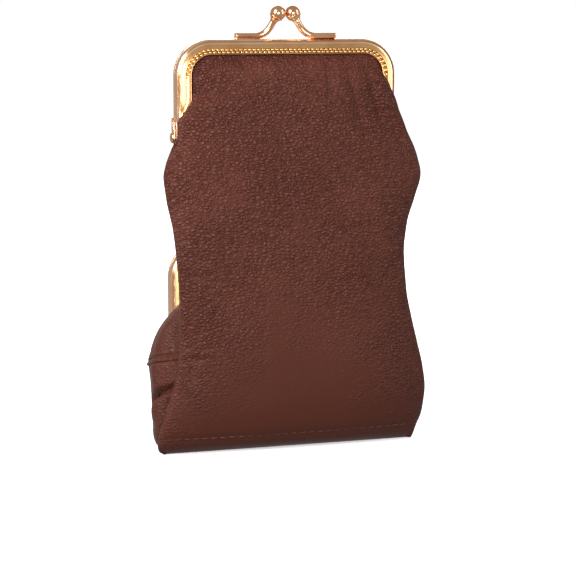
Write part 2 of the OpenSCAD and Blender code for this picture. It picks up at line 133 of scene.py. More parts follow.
COIN_TABLE = [
    [0, 43.8, 43, 5, 10.4],
    [1.2, 44.8, 44, 5.6, 12.4],
    [4, 45.2, 44.6, 6.6, 13.8],
    [10, 45.2, 45.2, 8.2, 15.4],
    [20, 45.2, 45.2, 10, 16.8],
    [COIN_HINGE_Z - 8.5, 45.6, 45.6, 12, 17.2],
    [COIN_HINGE_Z - 2, 42.4, 42.4, COIN_Y + 4.4, 17.4],
    [COIN_HINGE_Z + 4.5, 41, 41, COIN_Y + 5, 18],
    [COIN_HINGE_Z + 14, 41, 41, COIN_Y + 5, 17.4],
    [COIN_HINGE_Z + 19, 41, 41, COIN_Y + 5, 16.8],
    [COIN_TOP - 9, 41, 41, COIN_Y + 5, 15.4],
    [COIN_TOP - 5.2, 41, 41, COIN_Y + 5, COIN_Y + IN_CHANNEL],
    [COIN_TOP, 41, 41, COIN_Y + 5, COIN_Y + IN_CHANNEL],
]
# How far the leather rolls over a frame's legs: height above the hinge, left, right
FRONT_LIP = [
    [-2, 5.4, 9.8],
    [0, 5.2, 9.0],
    [3.5, 5.4, 7.5],
    [6.2, 5.0, 6.4],
    [8, 3.4, 5.6],
    [12, 0.9, 4.3],
    [16, 0.2, 2.4],
    [20, 0, 0.9],
    [23, 0, 0],
    [FRAME_H, 0, 0],
]
NO_LIP = [[-2, 3.6, 3.6], [0, 2.9, 2.9], [4, 1.2, 1.2], [10, 0.2, 0.2], [FRAME_H, 0, 0]]
# The coin pocket's inner wall: height, half width, edge y, middle y
INNER_TABLE = [
    [0, 37, 0, 1.2],
    [20, 37, 0, 1.3],
    [COIN_HINGE_Z - 6, 36.3, 2, 1.7],
    [COIN_HINGE_Z, 35.6, 5, 2.2],
    [COIN_HINGE_Z + 4, 36.3, COIN_Y - IN_CHANNEL, 3],
    [COIN_HINGE_Z + 16, 36.3, COIN_Y - IN_CHANNEL, 5.2],
    [COIN_TOP - 6, 36.3, COIN_Y - IN_CHANNEL, COIN_Y - IN_CHANNEL],
    [COIN_TOP, 36.3, COIN_Y - IN_CHANNEL, COIN_Y - IN_CHANNEL],
]


# ---- Curves ---------------------------------------------------------------------------------
def along(table, z, column):
    """A smooth curve, with no overshoot, through one column of a table of sections."""
    t = np.asarray(table, float)
    at, value = t[:, 0], t[:, column]
    gap = np.diff(at)
    secant = np.diff(value) / gap
    slope = np.zeros(len(at))
    slope[0], slope[-1] = secant[0], secant[-1]
    a, b = secant[:-1], secant[1:]
    rising = a * b > 0
    slope[1:-1][rising] = 2 * a[rising] * b[rising] / (a + b)[rising]
    z = np.asarray(z, float)
    i = np.clip(np.searchsorted(at, z, side="right") - 1, 0, len(at) - 2)
    s = (z - at[i]) / gap[i]
    return (
        (1 + 2 * s) * (1 - s) ** 2 * value[i]
        + s * (1 - s) ** 2 * gap[i] * slope[i]
        + s**2 * (3 - 2 * s) * value[i + 1]
        + s**2 * (s - 1) * gap[i] * slope[i + 1]
    )


def mix(a, b, s):
    return a + (b - a) * s


def ease(s):
    s = np.clip(s, 0, 1)
    return s * s * (3 - 2 * s)


def bulge(at, centre, width):
    """A smooth bump of height 1 at centre, fading out on both sides."""
    return np.exp(-(((at - centre) / width) ** 2))


def travelled(line):
    """Length of a line of points up to each of them."""
    return np.concatenate([[0], np.cumsum(np.linalg.norm(np.diff(line, axis=0), axis=1))])


def outline(top, inset, z):
    """Half width of a clasp frame's outline, inset from its outer edge, at height z."""
    rise = np.maximum(0, z - top + CORNER_R)
    return SIDE_X - CORNER_R + np.sqrt(np.maximum(0, (CORNER_R - inset) ** 2 - rise**2))


def wander(points, scale, seed):
    """Smooth noise from -1 to 1 at each of the points."""
    offset = Vector((seed * 17.3, seed * 5.1, seed * 9.7))
    flat = points.reshape(-1, 3) / scale
    values = [noise.noise(Vector(p) + offset) for p in flat]
    return np.array(values).reshape(points.shape[:-1])


def crease(x, z, start, end, width, depth):
    """A groove along a straight line in the front view, fading at its ends."""
    a, b = np.array(start, float), np.array(end, float)
    d = b - a
    length = np.linalg.norm(d)
    d /= length
    rx, rz = x - a[0], z - a[1]
    t = rx * d[0] + rz * d[1]
    off = rx * d[1] - rz * d[0]
    fade = ease(t / (0.35 * length)) * ease((length - t) / (0.35 * length))
    return -depth * fade * bulge(off, 0, width)


# ---- Meshes ---------------------------------------------------------------------------------
def make_piece(name, points, faces, materials, face_materials=None):
    """A smooth shaded mesh piece from points in millimetres."""
    mesh = bpy.data.meshes.new(name)
    placed = np.asarray(points, float).reshape(-1, 3) + [0, SHIFT_Y, 0]
    mesh.from_pydata((placed * MM).tolist(), [], [list(map(int, f)) for f in faces])
    rest = mesh.attributes.new("rest_place", "FLOAT_VECTOR", "POINT")
    rest.data.foreach_set("vector", (placed * MM).astype(np.float32).ravel())
    for m in materials:
        mesh.materials.append(m)
    if face_materials is not None:
        mesh.polygons.foreach_set("material_index", np.asarray(face_materials, np.int32))
    mesh.polygons.foreach_set("use_smooth", [True] * len(mesh.polygons))
    mesh.update()
    piece = bpy.data.objects.new(name, mesh)
    bpy.context.scene.collection.objects.link(piece)
    return piece


def grid_faces(rows, cols, start=0, closed=False):
    """Quads of a grid of rows by cols points; closed joins the last column to the first."""
    r = np.arange(rows - 1)[:, None]
    c = np.arange(cols if closed else cols - 1)[None, :]
    n = (c + 1) % cols
    quads = [r * cols + c, r * cols + n, (r + 1) * cols + n, (r + 1) * cols + c]
    return np.stack([q + start for q in quads], -1).reshape(-1, 4)


def surface_normals(grid):
    across = np.gradient(grid, axis=1)
    down = np.gradient(grid, axis=0)
    n = np.cross(across, down)
    return n / np.maximum(np.linalg.norm(n, axis=-1, keepdims=True), 1e-9)


def border(rows, cols):
    """Indices of a grid's border, once round."""
    grid = np.arange(rows * cols).reshape(rows, cols)
    return np.concatenate([grid[0], grid[1:, -1], grid[-1, -2::-1], grid[-2:0:-1, 0]])


def thick_sheet(grid, thickness, outward):
    """Points and faces of a closed sheet whose outer side is grid. outward is 1 or -1, for
    the side that surface_normals gives. The rim is rounded like a turned edge."""
    rows, cols = grid.shape[:2]
    n = surface_normals(grid) * outward
    inner = grid - n * thickness
    inner[..., 2] = np.maximum(inner[..., 2], 0)
    rim = border(rows, cols)
    step = np.zeros_like(grid)
    step[0], step[-1] = grid[0] - grid[1], grid[-1] - grid[-2]
    step[:, 0] += grid[:, 0] - grid[:, 1]
    step[:, -1] += grid[:, -1] - grid[:, -2]
    flat_step = step.reshape(-1, 3)[rim]
    flat_step /= np.maximum(np.linalg.norm(flat_step, axis=1, keepdims=True), 1e-9)
    out_rim, in_rim = grid.reshape(-1, 3)[rim], inner.reshape(-1, 3)[rim]
    middle = (out_rim + in_rim) / 2 + flat_step * thickness * 0.45
    middle[:, 2] = np.maximum(middle[:, 2], 0)
    points = np.concatenate([grid.reshape(-1, 3), inner.reshape(-1, 3), middle])
    count = rows * cols
    outer_faces = grid_faces(rows, cols)
    inner_faces = grid_faces(rows, cols, count)[:, ::-1]
    m = len(rim)
    i = np.arange(m)
    j = (i + 1) % m
    mid = 2 * count
    strip_a = np.stack([rim[j], rim[i], mid + i, mid + j], -1)
    strip_b = np.stack([mid + j, mid + i, count + rim[i], count + rim[j]], -1)
    faces = np.concatenate([outer_faces, inner_faces, strip_a, strip_b])
    return points, faces if outward > 0 else faces[:, ::-1]


def leather_sheet(name, grid, outward, material, thickness=LEATHER_T):
    """A sheet piece on a grid of points in millimetres."""
    points, faces = thick_sheet(grid, thickness, outward)
    piece = make_piece(name, points, faces, [material])
    return piece


def lathe(profile, turns=48):
    """Points and faces of a profile of (radius, along) turned round the X axis."""
    p = np.asarray(profile, float)
    a = np.linspace(0, 2 * np.pi, turns, endpoint=False)
    points = np.stack(
        [np.repeat(p[:, 1:], turns, 1), p[:, :1] * np.cos(a)[None], p[:, :1] * np.sin(a)[None]], -1
    )
    return points.reshape(-1, 3), grid_faces(len(p), turns, closed=True)


def capped(rows, cols):
    """Faces of a tube made of rings, rows of them with cols points each, and of its ends."""
    ends = [list(range(cols))[::-1], [(rows - 1) * cols + i for i in range(cols)]]
    return [list(f) for f in grid_faces(rows, cols, closed=True)] + ends


def joined(parts):
    """Several (points, faces) as one."""
    points, faces, start = [], [], 0
    for p, f in parts:
        points.append(np.asarray(p, float).reshape(-1, 3))
        faces += [[int(i) + start for i in face] for face in f]
        start += len(points[-1])
    return np.concatenate(points), faces


# ---- Materials ------------------------------------------------------------------------------
class Nodes:
    """Short calls for building one material's nodes."""

    def __init__(self, name):
        self.material = bpy.data.materials.new(name)
        self.material.use_nodes = True
        self.tree = self.material.node_tree
        self.shader = self.tree.nodes["Principled BSDF"]

    def add(self, kind, inputs=(), **settings):
        node = self.tree.nodes.new(kind)
        for key, value in settings.items():
            setattr(node, key, value)
        for key, value in dict(inputs).items():
            self.put(node.inputs[key], value)
        return node

    def put(self, socket, value):
        """Links another node's output to a socket, or sets the socket to a plain value."""
        if isinstance(value, bpy.types.NodeSocket):
            self.tree.links.new(value, socket)
        else:
            socket.default_value = value

    def math(self, operation, a, b=0.0, c=0.0):
        return self.add("ShaderNodeMath", {0: a, 1: b, 2: c}, operation=operation).outputs[0]

    def vector(self, operation, inputs):
        return self.add("ShaderNodeVectorMath", inputs, operation=operation).outputs[0]

    def place(self, stretch=(1, 1, 1)):
        """The rest position in metres, stretched."""
        at = self.add("ShaderNodeAttribute", attribute_name="rest_place").outputs["Vector"]
        return self.vector("MULTIPLY", {0: at, 1: stretch})

    def noise(self, at, scale, detail=2.0, roughness=0.5):
        node = self.add(
            "ShaderNodeTexNoise",
            {"Vector": at, "Scale": scale, "Detail": detail, "Roughness": roughness},
        )
        return node.outputs["Fac"]

    def spread(self, value, low, high, out_low=0.0, out_high=1.0):
        """Takes low to high of a value to out_low to out_high, smoothly."""
        span = {"From Min": low, "From Max": high, "To Min": out_low, "To Max": out_high}
        node = self.add(
            "ShaderNodeMapRange", {"Value": value, **span}, interpolation_type="SMOOTHSTEP"
        )
        return node.outputs["Result"]

    def blend(self, amount, a, b):
        node = self.add("ShaderNodeMix", {"Factor": amount}, data_type="RGBA")
        colours = [s for s in node.inputs if s.type == "RGBA" and s.enabled]
        for socket, value in zip(colours, (a, b)):
            self.put(socket, value)
        return [s for s in node.outputs if s.type == "RGBA" and s.enabled][0]

    def bump(self, height, strength, distance, normal=None):
        inputs = {"Height": height, "Strength": strength, "Distance": distance}
        if normal is not None:
            inputs["Normal"] = normal
        return self.add("ShaderNodeBump", inputs).outputs["Normal"]

    def finish(self, **values):
        for key, value in values.items():
            self.put(self.shader.inputs[key.replace("_", " ")], value)
        return self.material


def rgb(r, g, b):
    """A colour from display values of 0 to 255, as a shader wants it."""
    return (*[((v / 255 + 0.055) / 1.055) ** 2.4 if v > 10 else v / 3294 for v in (r, g, b)], 1)


GRAIN_PITCH = 0.0013
GRAIN_H = 0.00056
LEATHER_TONES = rgb(98, 51, 38), rgb(90, 45, 33)
# Painted shade: the gussets' tones are a darker copy of the leather's
SHADED_SOFT_TONES = rgb(84, 46, 35), rgb(76, 40, 30)
# Painted shade towards the bottom of the leather
LOW_PAINTED_SHADE = rgb(82, 41, 30)
# Painted shade in the grain's valleys
VALLEY_PAINTED_SHADE = rgb(54, 23, 17)


def leather_material(name, smooth, depth=1.0, tones=LEATHER_TONES):
    """Pebble grained leather, with painted shade towards the bottom and in the grain's valleys.
    Where smooth is true the grain fades out low in the middle.
    """
    n = Nodes(name)
    at = n.place()
    squat = n.place((0.82, 0.82, 1.25))
    bend = n.add("ShaderNodeTexNoise", {"Vector": at, "Scale": 480.0, "Detail": 3.0})
    shifted = n.vector("SUBTRACT", {0: bend.outputs["Color"], 1: (0.5, 0.5, 0.5)})
    pushed = n.vector("SCALE", {0: shifted, "Scale": GRAIN_PITCH * 1.1})
    warped = n.vector("ADD", {0: squat, 1: pushed})
    cells = {"Vector": warped, "Scale": 1 / GRAIN_PITCH, "Randomness": 0.9}
    to_edge = n.add("ShaderNodeTexVoronoi", cells, feature="DISTANCE_TO_EDGE").outputs["Distance"]
    to_middle = n.add("ShaderNodeTexVoronoi", cells, feature="F1").outputs["Distance"]
    top = n.spread(to_edge, 0.0, 0.2)
    pebble = n.math("MULTIPLY", n.spread(to_middle, 0.0, 0.8, 1.0, 0.35), top)
    wrinkle = n.noise(n.place((1, 1, 2.0)), 520.0, 3.0, 0.55)
    patch = n.noise(at, 55.0, 3.0)
    split = n.add("ShaderNodeSeparateXYZ", {0: at})
    height = split.outputs["Z"]
    grain = n.spread(patch, 0.25, 0.6, 0.5 * depth, depth)
    if smooth:
        wide = n.spread(n.math("ABSOLUTE", split.outputs["X"]), 0.004, 0.04, 0.0, 0.03)
        ragged = n.math("MULTIPLY_ADD", n.noise(at, 90.0, 4.0, 0.6), 0.07, -0.035)
        level = n.math("ADD", height, n.math("ADD", ragged, wide))
        grain = n.math("MULTIPLY", grain, n.spread(level, 0.02, 0.09, 0.04, 1.0))
    relief = n.math("MULTIPLY_ADD", wrinkle, 0.6, pebble)
    coarse = n.bump(n.math("MULTIPLY", relief, grain), 1.0, GRAIN_H)
    streaks = n.noise(n.place((1, 1, 0.15)), 700.0, 2.0)
    fine = n.math("MULTIPLY_ADD", streaks, 0.5, n.noise(at, 4200.0, 3.0, 0.6))
    finished = n.bump(fine, 0.2, 0.00005, coarse)
    broad = n.noise(at, 30.0, 2.0)
    light, dark = tones
    base = n.blend(n.spread(broad, 0.3, 0.7), dark, light)
    # Painted shade: darker towards the bottom, fully below 10 mm and fading out by 65 mm.
    low = n.spread(height, 0.01, 0.065, 1.0, 0.0)
    shaded = n.blend(low, base, LOW_PAINTED_SHADE)
    # Painted shade: the grain's valleys are darkened in the colour, standing for the shade between
    # the pebbles.
    valley_shade = n.math("MULTIPLY", n.math("SUBTRACT", 1.0, top), grain)
    colour = n.blend(n.math("MULTIPLY", valley_shade, 0.55), shaded, VALLEY_PAINTED_SHADE)
    rough = n.math("MULTIPLY_ADD", n.noise(at, 260.0, 2.0), 0.14, 0.34)
    return n.finish(
        Base_Color=colour, Roughness=rough, Normal=finished, Specular_IOR_Level=0.19
    )


def gold_material(name, colour, tarnish, roughness):
    n = Nodes(name)
    at = n.place()
    worn = n.spread(n.noise(at, 160.0, 3.0), 0.35, 0.7)
    tint = n.blend(n.math("MULTIPLY", worn, 0.5), colour, tarnish)
    rough = n.math("MULTIPLY_ADD", n.noise(n.place((1, 1, 9)), 900.0, 2.0), 0.1, roughness)
    normal = n.bump(n.noise(at, 700.0, 2.0), 0.08, 0.00005)
    return n.finish(Base_Color=tint, Metallic=1.0, Roughness=rough, Normal=normal)


def cloth_material(name, colour, shade, pitch):
    """A plain weave: fine waves both ways."""
    n = Nodes(name)
    at = n.place()
    waves = {"Vector": at, "Scale": 0.32 / pitch, "Distortion": 0.4}
    warp = n.add("ShaderNodeTexWave", waves, bands_direction="X").outputs["Fac"]
    weft = n.add("ShaderNodeTexWave", waves, bands_direction="Z").outputs["Fac"]
    weave = n.math("MULTIPLY", warp, weft)
    tone = n.blend(n.spread(weave, 0.1, 0.7), shade, colour)
    varied = n.blend(n.math("MULTIPLY", n.noise(at, 70.0), 0.35), tone, shade)
    return n.finish(
        Base_Color=varied, Roughness=0.85, Normal=n.bump(weave, 0.5, 0.0001), Specular_IOR_Level=0.2
    )


def card_material(name):
    n = Nodes(name)
    fibre = n.noise(n.place((1, 3, 3)), 1500.0, 4.0)
    tone = n.blend(n.spread(fibre, 0.3, 0.7), rgb(150, 126, 96), rgb(178, 156, 122))
    return n.finish(Base_Color=tone, Roughness=0.9, Normal=n.bump(fibre, 0.3, 0.0001))


def thread_material(name):
    n = Nodes(name)
    strands = {"Vector": n.place((1, 0.3, 0.6)), "Scale": 900.0}
    twist = n.add("ShaderNodeTexWave", strands, bands_direction="DIAGONAL").outputs["Fac"]
    tone = n.blend(twist, rgb(66, 33, 26), rgb(92, 50, 40))
    return n.finish(Base_Color=tone, Roughness=0.6, Normal=n.bump(twist, 0.4, 0.00005))


leather = leather_material("grained_leather", True)
leather_side = leather_material("grained_leather_side", False)
# The gussets' leather: less grain, and darker tones that are painted shade
shaded_leather_soft = leather_material("grained_leather_soft_shaded", False, 0.4, SHADED_SOFT_TONES)
gold_face = gold_material("gold_face", rgb(234, 184, 126), rgb(206, 148, 92), 0.14)
# Painted reflection: the outer rounded band and the ears are a lighter, pinker copy of the gold,
# standing for what the band reflects
gold_band_painted_reflection = gold_material("gold_band_painted_reflection", rgb(250, 202, 166), rgb(226, 172, 134), 0.2)
# Painted shade: the strip under the beads is a darker copy of the gold, for the shade between the
# beads
gold_ground_painted_shade = gold_material("gold_ground_painted_shade", rgb(160, 104, 56), rgb(124, 78, 38), 0.3)
gold_bead = gold_material("gold_bead", rgb(246, 204, 142), rgb(222, 166, 100), 0.16)
gold_clasp = gold_material("gold_clasp", rgb(236, 186, 146), rgb(196, 136, 96), 0.09)
lining_cloth = cloth_material("lining_cloth", rgb(122, 92, 72), rgb(86, 62, 50), 0.00045)
packing_card = card_material("packing_card")
thread = thread_material("waxed_thread")


# ---- Leather panels -------------------------------------------------------------------------
LIP_ROLL = 0.9
LIP_FULL = 1.6  # a lip this wide is fully rolled
LIP_PROUD = 1.5
PLAIN_EDGE = 3.3
CLEAR = 0.35
# A panel takes its frame's width over this height, and enters the channel's top bar here
HOLD_FROM, HOLD_OVER = -1, 5
HIDDEN_FROM, HIDDEN_OVER = 5.8, 0.8
TUCKED = 8  # columns that turn back into the channel on each side


def panel_rows(table, side, middle, hinge, heights, lips, columns=70, tucked=True):
    """Rows of a panel's outer side, from the left to the right. side is -1 for a panel that
    faces forward, and middle is its frame's y. Above the hinge the leather rolls over the
    frame's legs, and its tucked edge turns back into the channel."""
    z = np.asarray(heights, float)[:, None]
    above = z - hinge
    rim = outline(hinge + FRAME_H, FACE_W, z)
    inside = np.maximum(outline(hinge + FRAME_H, EDGE_TUCK, z), rim + 1)
    held = ease((above - HOLD_FROM) / HOLD_OVER)
    hidden = ease((above - FRAME_H + HIDDEN_FROM) / HIDDEN_OVER)
    s = np.sin(np.pi / 2 * np.linspace(0, 1, columns + 1))[None, :]
    in_channel = middle + side * IN_CHANNEL
    sides = []
    for hand, column in ((-1, 1), (1, 2)):
        over = along(lips, np.maximum(above, -2), column)
        lip = ease(over / LIP_FULL)
        roll = LIP_ROLL * lip
        lip_depth = mix(mix(PLAIN_EDGE, HALF_DEPTH + LIP_PROUD, lip), IN_CHANNEL, hidden)
        edge = mix(along(table, z, 3), middle + side * lip_depth, held)
        power = mix(1 / SECTION_POWER, 0.8, (1 - lip) * held)
        half = mix(along(table, z, column), mix(rim - CLEAR, rim + over, lip), held)
        x = half * s
        y = mix(edge, along(table, z, 4), (1 - s**SECTION_POWER) ** power)
        if tucked:
            back = edge - side * roll
            turn = [
                (half - 0.25 * roll, mix(edge, back, 0.65)),
                (half - 0.9 * roll, mix(edge, back, 0.98)),
                (mix(half - roll, rim + 0.3, 0.5), back),
                (rim + 0.1, back),
                (rim - CLEAR, mix(back, in_channel, 0.5)),
                (rim - 0.25, in_channel),
                (mix(rim, inside, 0.4), in_channel),
                (inside, in_channel),
            ]
            for k, (turned_x, turned_y) in enumerate(turn, 1):
                flat_x = rim - CLEAR + 0.02 * k if k < 7 else turned_x
                flat_y = mix(edge, in_channel, min(1, k / 6))
                at_x, at_y = mix(flat_x, turned_x, lip), mix(flat_y, turned_y, lip)
                x = np.hstack([x, mix(half - 0.14 * k, at_x, held)])
                y = np.hstack([y, mix(edge - side * 0.05 * k, at_y, held)])
        sides.append(np.stack([hand * x, y, z + 0 * x], -1))
    return np.concatenate([sides[0][:, :0:-1], sides[1]], axis=1)


EDGE_FADE = 7
PLEAT_W, FOLD_W, SWELL_W = 3.2, 7.5, 24
PLEAT_L = 16


def flat_part(grid, spare):
    """1 over a panel, fading to 0 at its side edges and at what is tucked in."""
    count = (grid.shape[1] - 1) // 2 - spare
    s = np.abs(np.arange(-count - spare, count + spare + 1)) / count
    return ease((1 - s) * EDGE_FADE)[None, :] * np.ones(grid.shape[:1])[:, None]


def gathers(grid, hinge, depth, seed):
    """Soft vertical folds where the frame gathers the leather, and a slow overall swell."""
    below = hinge + FRAME_H - FACE_W - grid[..., 2]
    fade = ease(below / 2.5) * np.exp(-np.maximum(below, 0) / PLEAT_L)
    pleats = wander(grid * [1, 0, 0.12], PLEAT_W, seed)
    pleats = pleats + 0.7 * wander(grid * [1, 0, 0.2], FOLD_W, seed + 1)
    swell = wander(grid * [1, 0, 1], SWELL_W, seed + 2) * ease(below / 20)
    return depth * pleats * fade + 0.5 * swell


def pushed_out(grid, outward, amount):
    return grid + surface_normals(grid) * outward * amount[..., None]


def steps(a, b, size):
    return np.linspace(a, b, max(2, int(round(abs(b - a) / size)) + 1))


FRONT_OUT = -1
BACK_OUT = 1
ROW_STEP = 0.9
# Creases of the front: start and end (x, z), width, and depth
FRONT_CREASES = [
    ((-43, 33.2), (-30, 33.6), 0.6, 0.5),
    ((-43, 35.6), (-26, 35.4), 0.8, -0.3),
    ((-37.4, 33), (-36.8, 24), 0.7, 0.4),
    ((20, 132), (25, 106), 1.5, 0.75),
    ((13, 133), (14, 115), 1.3, 0.6),
    ((26, 131), (34, 104), 1.6, 0.8),
    ((31, 118), (42, 97), 1.8, 0.6),
    ((-34, 112), (-42, 93), 1.8, 0.6),
    ((-40, 64), (-24, 55), 2.6, 0.25),
    ((28, 56), (39, 66), 2.6, 0.25),
]
STITCH_Z = WRAP_H
GROOVE_H, GROOVE_W = 0.3, 0.55
LAP = 0.55  # how far the front leather stands out over the coin pocket's
LOW_HEIGHTS = [0.5, 0.2, 0.0]


def front_relief(grid, spare=TUCKED):
    """Height of the front's folds; spare is the number of tucked columns on each side."""
    x, z = grid[..., 0], grid[..., 2]
    relief = gathers(grid, HINGE_Z, 0.34, 3)
    for start, end, width, depth in FRONT_CREASES:
        relief += crease(x, z, start, end, width, depth)
    relief -= GROOVE_H * bulge(z, STITCH_Z, GROOVE_W)
    return relief * flat_part(grid, spare)


def rear_relief(grid, spare=TUCKED):
    return gathers(grid, HINGE_Z, 0.3, 11) * flat_part(grid, spare)


def coin_relief(grid, spare=TUCKED):
    return gathers(grid, COIN_HINGE_Z, 0.3, 23) * flat_part(grid, spare)


def front_leather():
    """One piece: down the front from the frame, round the bottom and a little up the back."""
    heights = steps(FRAME_TOP - EDGE_TUCK, 0.9, ROW_STEP)
    front = panel_rows(FRONT_TABLE, -1, 0, HINGE_Z, heights, FRONT_LIP)
    front = pushed_out(front, FRONT_OUT, front_relief(front))
    low = panel_rows(FRONT_TABLE, -1, 0, HINGE_Z, LOW_HEIGHTS, FRONT_LIP)
    back_low = panel_rows(COIN_TABLE, 1, COIN_Y, COIN_HINGE_Z, LOW_HEIGHTS[::-1], NO_LIP)
    floor = np.stack([mix(low[-1], back_low[0], s) for s in np.linspace(0, 1, 16)[1:-1]])
    wrap = panel_rows(COIN_TABLE, 1, COIN_Y, COIN_HINGE_Z, steps(0.9, WRAP_H, ROW_STEP), NO_LIP)
    over = LAP * ease((wrap[..., 2] - 1) / 3)
    wrap = wrap + over[..., None] * [0, 1, 0]
    grid = np.concatenate([front, low, floor, back_low, wrap])
    piece = leather_sheet("front_leather", grid, FRONT_OUT, leather)
    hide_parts("front_panel", "front_panel_top")
    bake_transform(piece)


def rear_leather():
    heights = steps(FRAME_TOP - EDGE_TUCK, 2.1, ROW_STEP)
    rear = panel_rows(REAR_TABLE, 1, 0, HINGE_Z, heights, NO_LIP)
    rear = pushed_out(rear, BACK_OUT, rear_relief(rear))
    piece = leather_sheet("rear_leather", rear, BACK_OUT, leather_side)
    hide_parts("rear_panel", "rear_panel_top")
    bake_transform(piece)


def coin_leather():
    heights = steps(COIN_TOP - EDGE_TUCK, 3.2, ROW_STEP)
    grid = panel_rows(COIN_TABLE, 1, COIN_Y, COIN_HINGE_Z, heights, NO_LIP)
    grid = pushed_out(grid, BACK_OUT, coin_relief(grid))
    piece = leather_sheet(
        "coin_outer_leather", grid, BACK_OUT, leather_side
    )
    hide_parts("coin_outer_panel", "coin_outer_panel_top")
    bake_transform(piece)


def inner_rows(behind):
    u = np.linspace(-1, 1, 91)[None, :]
    z = steps(COIN_TOP - EDGE_TUCK, 2.1, 1.2)[:, None] + 0 * u
    half = np.minimum(along(INNER_TABLE, z, 1), outline(COIN_TOP, EDGE_TUCK, z))
    rim = outline(COIN_TOP, FACE_W + 0.8, z)
    x = half * np.sin(np.pi / 2 * u)
    bow = 1 - np.minimum(1, np.abs(x) / rim) ** SECTION_POWER
    y = mix(along(INNER_TABLE, z, 2), along(INNER_TABLE, z, 3), bow) + behind
    return np.stack([x, y, z], -1)


def coin_inner_leather():
    piece = leather_sheet(
        "coin_inner_leather", inner_rows(0), FRONT_OUT, leather_side
    )
    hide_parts("coin_inner_panel")
    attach(piece, "pouch")


# ---- Lining ---------------------------------------------------------------------------------
def lining(name, table, side, middle, hinge, lips, relief, out, nodes):
    """Cloth just inside a panel, from the frame to the bottom."""
    heights = steps(hinge + FRAME_H - FACE_W - 0.6, 2.2, 1.8)
    rows = panel_rows(table, side, middle, hinge, heights, lips, 36, tucked=False)
    inside = pushed_out(rows, out, relief(rows, 0) - LEATHER_T - 0.3)
    piece = leather_sheet(name, inside, out, lining_cloth, LINING_T)
    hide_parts(*nodes)
    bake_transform(piece)


def coin_inner_lining():
    piece = leather_sheet(
        "coin_lining_inside", inner_rows(LEATHER_T + 0.1), FRONT_OUT, lining_cloth, LINING_T
    )
    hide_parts("coin_lining_inner")
    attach(piece, "pouch")


# ---- Side gussets of the coin pocket --------------------------------------------------------
GUSSET_ROOT = 0.42
SEAM_INNER_Z = COIN_HINGE_Z - 4.4
SEAM_OUTER_Z = COIN_HINGE_Z - 9.8
SLANT_FOLD, ROOT_FOLD, FLARE = 3.2, 2.2, 3.1


def gusset_root(z, column):
    """Where the gusset leaves the rear panel at height z; column 1 is the left side."""
    edge, crown = along(REAR_TABLE, z, 3), along(REAR_TABLE, z, 4)
    x = along(REAR_TABLE, z, column) * (1 - GUSSET_ROOT**SECTION_POWER) ** (1 / SECTION_POWER)
    return x, mix(edge, crown, GUSSET_ROOT)


def gusset_lower(column):
    """Below the seam: a puffed strip with a deep slanting fold and a narrow one at the root."""
    t = np.linspace(0, 1, 46)[:, None]
    s = np.linspace(0, 1, 57)[None, :]
    top = mix(SEAM_INNER_Z, SEAM_OUTER_Z, s) - 0.6
    z = mix(top, 1.4, t)
    x0, y0 = gusset_root(z, column)
    x1, y1 = along(COIN_TABLE, z, column), along(COIN_TABLE, z, 3)
    out = mix(x0 + 0.6, x1 - 0.1, ease(s * 1.7))
    puff = 1.0 * np.sin(np.pi * s**0.8) * ease(z / 6)
    slant = mix(23.5, 14.0, s) - z
    fold = SLANT_FOLD * bulge(slant, 0, 1.3) * ease(s / 0.15) * ease((1.0 - s) / 0.35)
    swell = 0.9 * bulge(slant, 4.5, 3.5) * np.sin(np.pi * s)
    wedge = ROOT_FOLD * bulge(s, 0.14, 0.09) * ease((20 - z) / 4) * ease(z / 3)
    x = out + puff - fold + swell - wedge
    return np.stack([x, mix(y0, y1, s), z], -1)


def gusset_upper(column):
    """The flared leather above the seam, up to the coin frame's leg, with a turned hem."""
    t = np.linspace(0, 1, 52)[:, None]
    s = np.linspace(0, 1, 49)[None, :]
    leg = SIDE_X - FACE_W
    top = np.stack(
        [
            mix(leg + 0.8, leg + 1.6, s),
            mix(-4.5, COIN_Y - HALF_DEPTH - 0.5, s),
            mix(COIN_HINGE_Z + 15.5, COIN_HINGE_Z + 12.5, s),
        ],
        -1,
    )
    seam = mix(SEAM_INNER_Z, SEAM_OUTER_Z, s)
    x0, y0 = gusset_root(seam, column)
    low = np.stack([mix(x0 + 0.7, 45.5, ease(s * 1.5)), mix(y0, 12.2, s), seam], -1)
    grid = mix(top, low, t[..., None])
    flare = FLARE * np.sin(np.pi * t**0.9) * ease(s * 1.6 + 0.1)
    dimple = 1.0 * bulge(s, 0.25, 0.12) * ease((t - 0.35) / 0.3) * ease((1 - t) / 0.2)
    hem = 0.55 * ease((t - 0.93) / 0.03) - 0.5 * bulge(t, 0.905, 0.018)
    ridge = 0.35 * bulge(t, 0.87, 0.02)
    grid[..., 0] += flare - dimple + hem + ridge
    return grid


def gusset(name, column, node):
    side = -1 if column == 1 else 1
    for part, shape in (("lower", gusset_lower), ("upper", gusset_upper)):
        grid = shape(column) * [side, 1, 1]
        grid = pushed_out(grid, -side, 0.12 * wander(grid, 9, 31))
        piece = leather_sheet(f"{name}_{part}", grid, -side, shaded_leather_soft, 0.9)
        if part == "lower":
            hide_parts(node)
        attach(piece, "pouch")


# ---- Clasp frames ---------------------------------------------------------------------------
LEG_START = 5.2
PATH_STEP = 0.8
EAR_T = 0.55
EAR_R, HOLE_R = 2.0, 0.98
EDGE_R = 1.75
# The shallow wave along the outer band
WAVE_H, WAVE_PITCH = 0.04, 5.3


